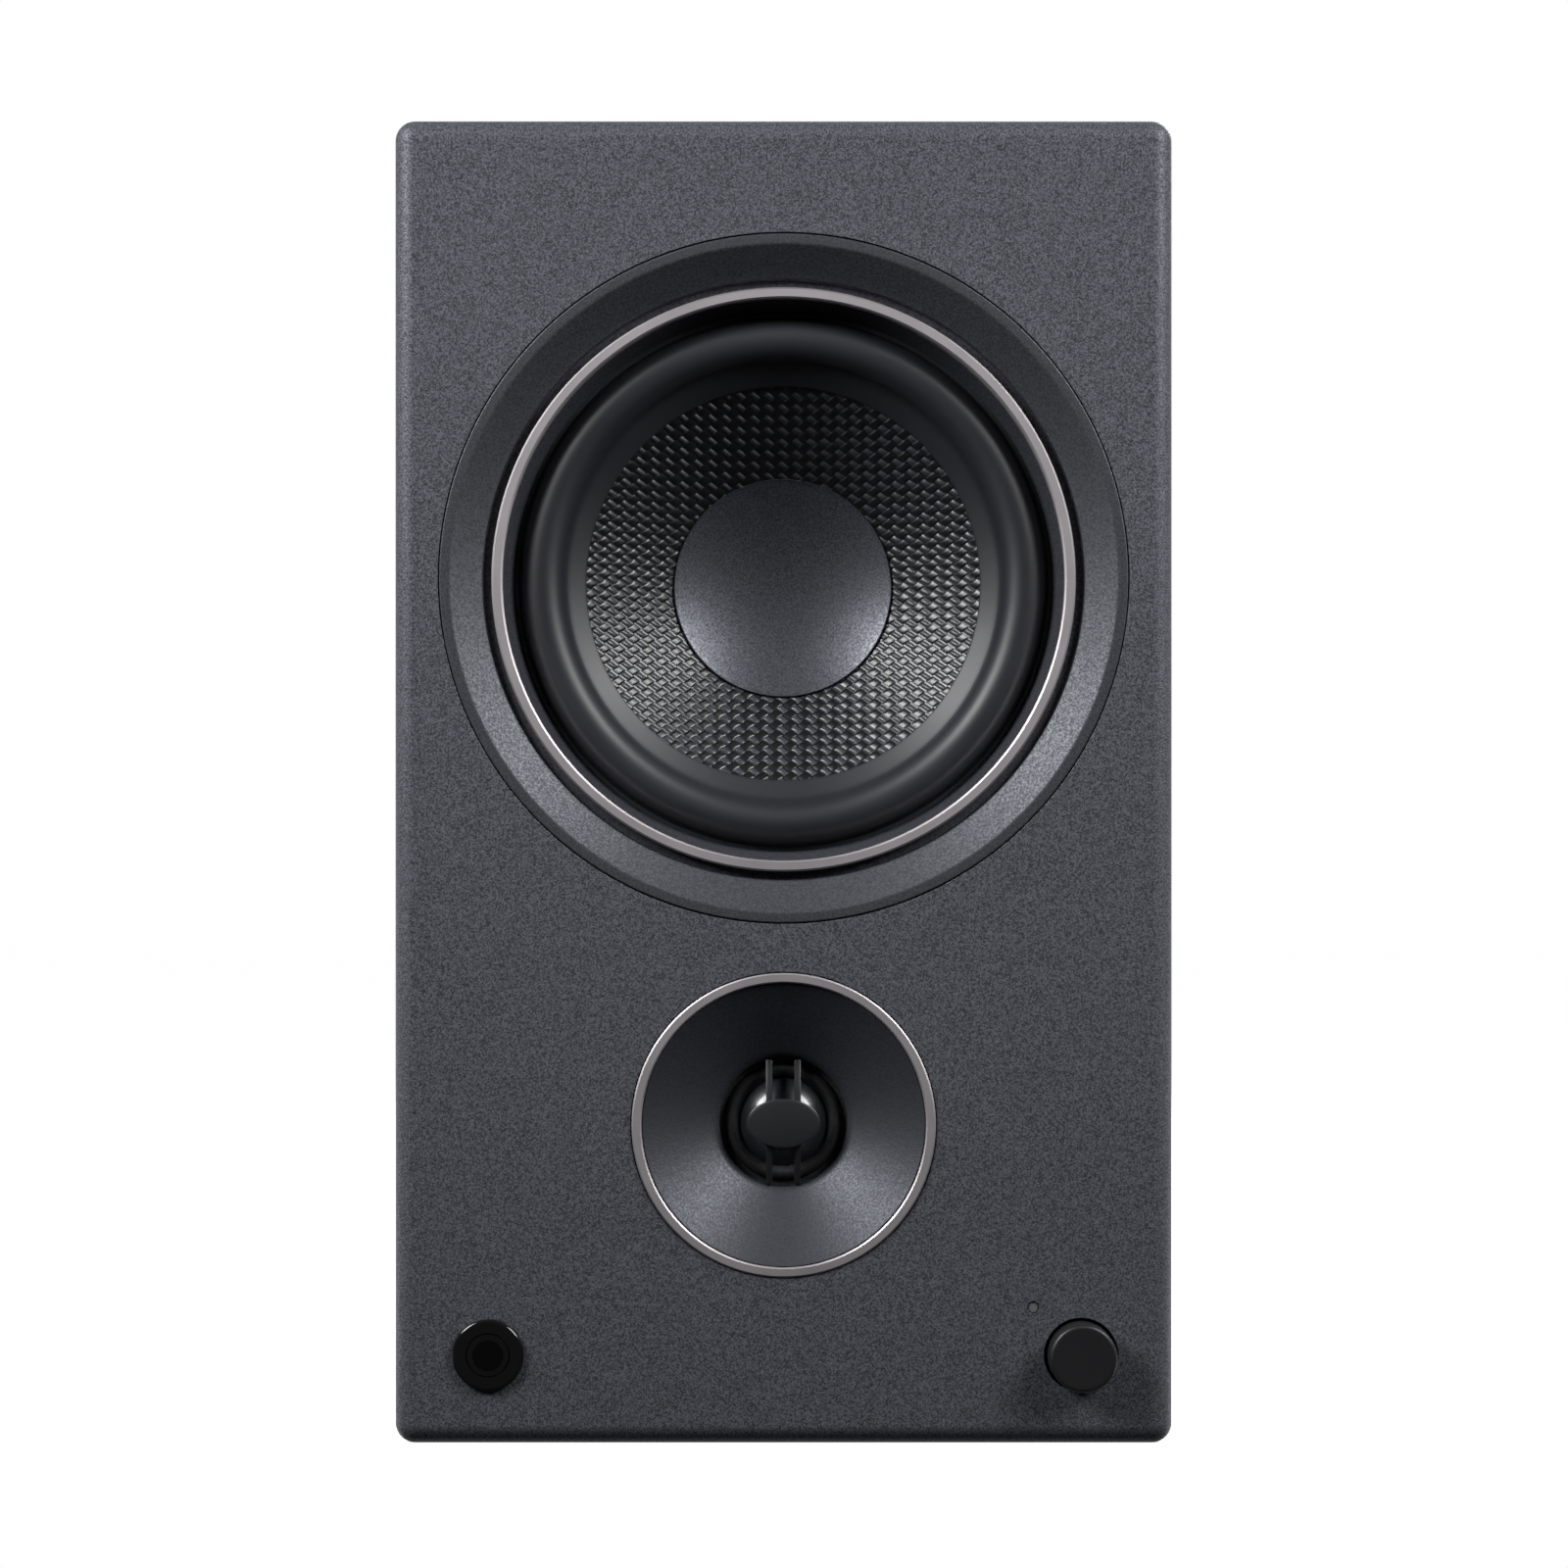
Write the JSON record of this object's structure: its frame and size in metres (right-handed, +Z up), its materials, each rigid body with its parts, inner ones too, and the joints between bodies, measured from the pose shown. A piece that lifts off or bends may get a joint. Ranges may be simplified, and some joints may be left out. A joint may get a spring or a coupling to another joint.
{
  "type": "bookshelf speaker",
  "caption": "Powered bookshelf speaker with a recessed cone driver above a dome in a waveguide, a push volume knob, a remote window, and a rear port and amplifier plate.",
  "frame": {"origin": "on the resting plane, under the middle of the whole object", "axes": "+Z up, baffle and knob face -Y, +X to the right as seen from the front"},
  "size_m": [0.171, 0.245, 0.291],
  "materials": {
    "baffle_black": "satin, fine metallic speckle",
    "cabinet_vinyl": "textured vinyl wrap",
    "raw_board": "bare fibreboard",
    "wadding": "soft fibre",
    "black_plastic": "satin moulded",
    "trim_plastic": "satin moulded",
    "accent_metal": "satin champagne",
    "pressed_steel": "black powder coat",
    "gasket_foam": "matte",
    "screw_black": "black oxide",
    "roll_rubber": "satin",
    "woven_cone": "glossy woven fibre",
    "dust_cap": "satin, fine grain",
    "former_film": "polyimide film",
    "copper_wire": "enamelled copper",
    "spider_cloth": "treated cloth",
    "plated_steel": "zinc plated",
    "ferrite": "sintered",
    "phenolic": "phenolic strip",
    "braid": "braided",
    "dome_cloth": "coated silk",
    "bridge_metal": "satin",
    "ir_window": "gloss",
    "light_pipe": "frosted",
    "knob_black": "satin",
    "circuit_board": "solder mask",
    "plate_black": "powder coat",
    "fin_aluminium": "extruded",
    "nickel": "plated",
    "gold": "plated",
    "jack_plastic": "coloured inserts",
    "red_plastic": "gloss",
    "wire_jacket": "insulated",
    "grey_jacket": "insulated",
    "white_plastic": "moulded"
  },
  "bodies": {
    "cabinet": {"front_baffle": "baffle_black", "side_panels": "cabinet_vinyl", "top_and_bottom_panels": "cabinet_vinyl", "rear_panel": "cabinet_vinyl", "window_brace": "raw_board", "damping_wadding": "wadding", "port_tube": "black_plastic", "woofer_trim_ring": "trim_plastic", "woofer_accent_ring": "accent_metal", "woofer_frame": "pressed_steel", "woofer_gasket": "gasket_foam", "woofer_screws": "screw_black", "woofer_surround": "roll_rubber", "woofer_spider": "spider_cloth", "woofer_top_plate": "plated_steel", "woofer_magnet": "ferrite", "woofer_pole_plate": "plated_steel", "woofer_terminals": "phenolic", "woofer_tinsel_leads": "braid", "tweeter_waveguide": "trim_plastic", "tweeter_accent_ring": "accent_metal", "tweeter_bridge": "bridge_metal", "tweeter_surround": "roll_rubber", "tweeter_top_plate": "plated_steel", "tweeter_magnet": "ferrite", "tweeter_pole_plate": "plated_steel", "tweeter_rear_cup": "black_plastic", "ir_lens": "ir_window", "ir_receiver": "black_plastic", "led_light_pipe": "light_pipe", "encoder_body": "plated_steel", "control_boards": "circuit_board", "amplifier_plate": "plate_black", "amplifier_plate_screws": "screw_black", "amplifier_board": "circuit_board", "heat_sink": "fin_aluminium", "power_supply_parts": "black_plastic", "rca_shells": "nickel", "rca_insulators": "jack_plastic", "binding_post_shafts": "gold", "binding_post_bases": "black_plastic", "mains_inlet": "black_plastic", "mains_inlet_pins": "nickel", "power_switch_body": "black_plastic", "driver_wires": "wire_jacket", "control_cables": "grey_jacket"},
    "woofer_cone": {"woofer_cone": "woven_cone", "woofer_dust_cap": "dust_cap", "woofer_coil_former": "former_film", "woofer_voice_coil": "copper_wire"},
    "tweeter_dome": {"tweeter_dome": "dome_cloth", "tweeter_voice_coil": "copper_wire"},
    "volume_press": {"encoder_plunger": "white_plastic"},
    "volume_knob": {"volume_knob": "knob_black", "encoder_shaft": "plated_steel"},
    "power_rocker": {"power_rocker": "black_plastic"},
    "red_post_washer": {"red_post_washer": "gold"},
    "red_post_cap": {"red_post_cap": "red_plastic"},
    "black_post_washer": {"black_post_washer": "gold"},
    "black_post_cap": {"black_post_cap": "black_plastic"}
  },
  "joints": [
    {"name": "woofer_stroke", "type": "slide", "parent": "cabinet", "child": "woofer_cone", "axis": [0, -1, 0], "range_m": [-0.004, 0.004], "stiffness_N_per_m": 1300, "deforming": ["woofer_surround", "woofer_spider", "woofer_tinsel_leads"]},
    {"name": "tweeter_stroke", "type": "slide", "parent": "cabinet", "child": "tweeter_dome", "axis": [0, -1, 0], "range_m": [-0.0003, 0.0003], "stiffness_N_per_m": 2000, "deforming": ["tweeter_surround"]},
    {"name": "volume_push", "type": "slide", "parent": "cabinet", "child": "volume_press", "axis": [0, 1, 0], "range_m": [0, 0.0006], "stiffness_N_per_m": 3000},
    {"name": "volume_turn", "type": "hinge", "parent": "volume_press", "child": "volume_knob", "pos_m": [0.0652, -0.11545, 0.0198], "axis": [0, -1, 0], "continuous": true},
    {"name": "power_rock", "type": "hinge", "parent": "cabinet", "child": "power_rocker", "pos_m": [-0.028, 0.10505, 0.043], "axis": [1, 0, 0], "range_deg": [0, 16]},
    {"name": "red_post_lift", "type": "slide", "parent": "cabinet", "child": "red_post_washer", "axis": [0, 1, 0], "range_m": [0, 0.0024]},
    {"name": "red_post_turn", "type": "hinge", "parent": "red_post_washer", "child": "red_post_cap", "pos_m": [-0.0095, 0.10955, 0.098], "axis": [0, 1, 0], "range_deg": [0, 1080]},
    {"name": "black_post_lift", "type": "slide", "parent": "cabinet", "child": "black_post_washer", "axis": [0, 1, 0], "range_m": [0, 0.0024]},
    {"name": "black_post_turn", "type": "hinge", "parent": "black_post_washer", "child": "black_post_cap", "pos_m": [0.0095, 0.10955, 0.098], "axis": [0, 1, 0], "range_deg": [0, 1080]}
  ],
  "couplings": [
    {"joint": "red_post_turn", "follows": "red_post_lift", "rad_per_m": 7854},
    {"joint": "black_post_turn", "follows": "black_post_lift", "rad_per_m": 7854}
  ]
}
